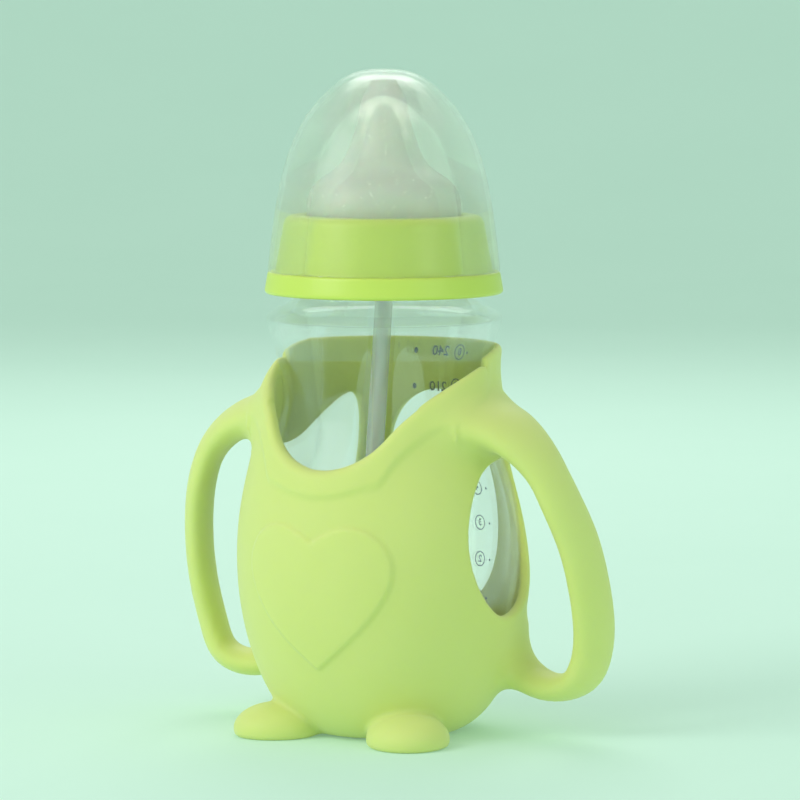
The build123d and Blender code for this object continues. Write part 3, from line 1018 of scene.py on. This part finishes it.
def straw_material():
    m = Material("straw_silicone")
    m.set(Transmission_Weight=0.2, IOR=1.41, Alpha=0.45, Subsurface_Weight=0.3, Subsurface_Scale=0.003)
    m.mix_colour(m.noise(120.0), srgb(250, 252, 248), srgb(254, 255, 252))
    m.mix_value(m.noise(900.0), 0.20, 0.28, "Roughness")
    m.bump(m.noise(1800.0), 0.00002, 0.4)
    return m.material


def natural_plastic_material(name, alpha):
    m = Material(name)
    m.set(Transmission_Weight=0.3, IOR=1.49, Alpha=alpha, Subsurface_Weight=0.2, Subsurface_Scale=0.003)
    m.mix_colour(m.noise(80.0), srgb(240, 243, 232), srgb(246, 248, 240))
    m.mix_value(m.noise(600.0), 0.28, 0.36, "Roughness")
    m.bump(m.noise(1500.0), 0.00002, 0.4)
    return m.material


def steel_material():
    m = Material("steel")
    m.set(Metallic=1.0)
    m.mix_colour(m.noise(200.0), srgb(186, 186, 190), srgb(204, 204, 208))
    m.mix_value(m.noise(1200.0), 0.14, 0.24, "Roughness")
    m.bump(m.noise(4000.0), 0.00001, 0.4)
    return m.material


def ink_material():
    m = Material("scale_ink")
    m.mix_colour(m.noise(1500.0), srgb(18, 52, 110), srgb(30, 70, 130))
    m.mix_value(m.noise(900.0), 0.40, 0.55, "Roughness")
    return m.material


def floor_material():
    m = Material("floor")
    m.set(Emission_Color=srgb(190, 226, 208), Emission_Strength=0.22)
    m.mix_colour(m.noise(6.0), srgb(198, 226, 212), srgb(203, 229, 216))
    m.mix_value(m.noise(40.0), 0.80, 0.90, "Roughness")
    return m.material


def paint(piece, material):
    piece.data.materials.clear()
    piece.data.materials.append(material)
    return piece


# ---------------------------------------------------------------- camera, light and floor


def make_camera():
    """Level with the shoulder of the bottle, a little to its right, looking slightly down."""
    turn = math.radians(29.0)
    distance, height, aim_height, aside = 1140.0, 193.0, 87.0, 4.2
    right = Vector((math.cos(turn), math.sin(turn), 0))
    camera = bpy.data.objects.new("camera", bpy.data.cameras.new("camera"))
    bpy.context.scene.collection.objects.link(camera)
    camera.location = Vector((distance * math.sin(turn), -distance * math.cos(turn), height)) * MM
    aim = (right * aside + Vector((0, 0, aim_height))) * MM
    camera.rotation_mode = "QUATERNION"
    camera.rotation_quaternion = (aim - camera.location).to_track_quat("-Z", "Y")
    camera.data.sensor_width = 36.0
    camera.data.lens = 196.2
    camera.data.clip_start = 0.05
    camera.data.clip_end = 20.0
    bpy.context.scene.camera = camera


def area_light(name, place, aim, size, power, colour=(1, 1, 1)):
    data = bpy.data.lights.new(name, "AREA")
    data.shape = "RECTANGLE"
    data.size, data.size_y = size
    data.energy = power
    data.color = colour
    light = bpy.data.objects.new(name, data)
    bpy.context.scene.collection.objects.link(light)
    light.location = place
    light.rotation_mode = "QUATERNION"
    light.rotation_quaternion = (Vector(aim) - Vector(place)).to_track_quat("-Z", "Y")


def make_backdrop():
    """A pale floor that curves up into a wall all round, with no edge to be seen."""
    flat, curve, height = 1500.0, 2000.0, 2400.0
    outline = [(0, 0), (0.5 * flat, 0), (flat, 0)]
    for turn in np.linspace(0, math.pi / 2, 13)[1:]:
        outline.append((flat + curve * math.sin(turn), curve * (1 - math.cos(turn))))
    outline.append((flat + curve, height))
    segments = 96
    turns = np.arange(segments) * 2 * math.pi / segments
    vertices = [(0.0, 0.0, float(cad_low[2]) / MM)]
    for r, z in outline[1:]:
        vertices += [(r * math.cos(t), r * math.sin(t), z + float(cad_low[2]) / MM) for t in turns]
    faces = [(0, 1 + i, 1 + (i + 1) % segments) for i in range(segments)]
    for ring in range(len(outline) - 2):
        inner, outer = 1 + ring * segments, 1 + (ring + 1) * segments
        for i in range(segments):
            j = (i + 1) % segments
            faces.append((inner + i, outer + i, outer + j, inner + j))
    return new_object("backdrop", np.array(vertices), faces)


def make_studio():
    world = bpy.data.worlds.new("studio")
    bpy.context.scene.world = world
    world.use_nodes = True
    sky = world.node_tree.nodes["Background"]
    sky.inputs["Color"].default_value = srgb(240, 248, 244)
    sky.inputs["Strength"].default_value = 0.62
    middle = (0, 0, 0.09)
    area_light("key", (-0.62, -1.10, 0.85), middle, (0.8, 0.9), 8.5)
    area_light("fill", (1.25, -0.30, 0.35), middle, (0.5, 0.9), 1.5)
    area_light("back", (-0.40, 0.75, 0.75), middle, (0.6, 0.6), 2.4)
    paint(make_backdrop(), floor_material())
    bpy.context.scene.view_settings.view_transform = "Standard"


# ---------------------------------------------------------------- the object


def main():
    make_camera()
    make_studio()
    sleeve = paint(make_sleeve(0.7), silicone_material())
    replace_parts(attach(sleeve, "bottle"), "silicone_sleeve")
    glass = paint(make_glass(), glass_material())
    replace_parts(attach(glass, "bottle"), "glass_bottle")
    scale = paint(make_print(), ink_material())
    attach(scale, "bottle")
    collar = paint(make_collar(), collar_material())
    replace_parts(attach(collar, "collar"), "screw_collar")
    teat = paint(make_teat(), teat_material())
    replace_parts(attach(teat, "teat_unit"), "teat")
    cap = paint(make_cap(), cap_material())
    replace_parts(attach(cap, "cap"), "dome_cap")
    straw = paint(make_straw(), straw_material())
    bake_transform(straw)
    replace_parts(straw, "straw_tube")
    paint(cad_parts["straw_adapter"], natural_plastic_material("natural_pp", 0.92))
    for name in ("weight_upper_shell", "weight_lower_shell"):
        paint(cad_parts[name], natural_plastic_material("weight_pp", 1.0))
    paint(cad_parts["weight_ball"], steel_material())


main()
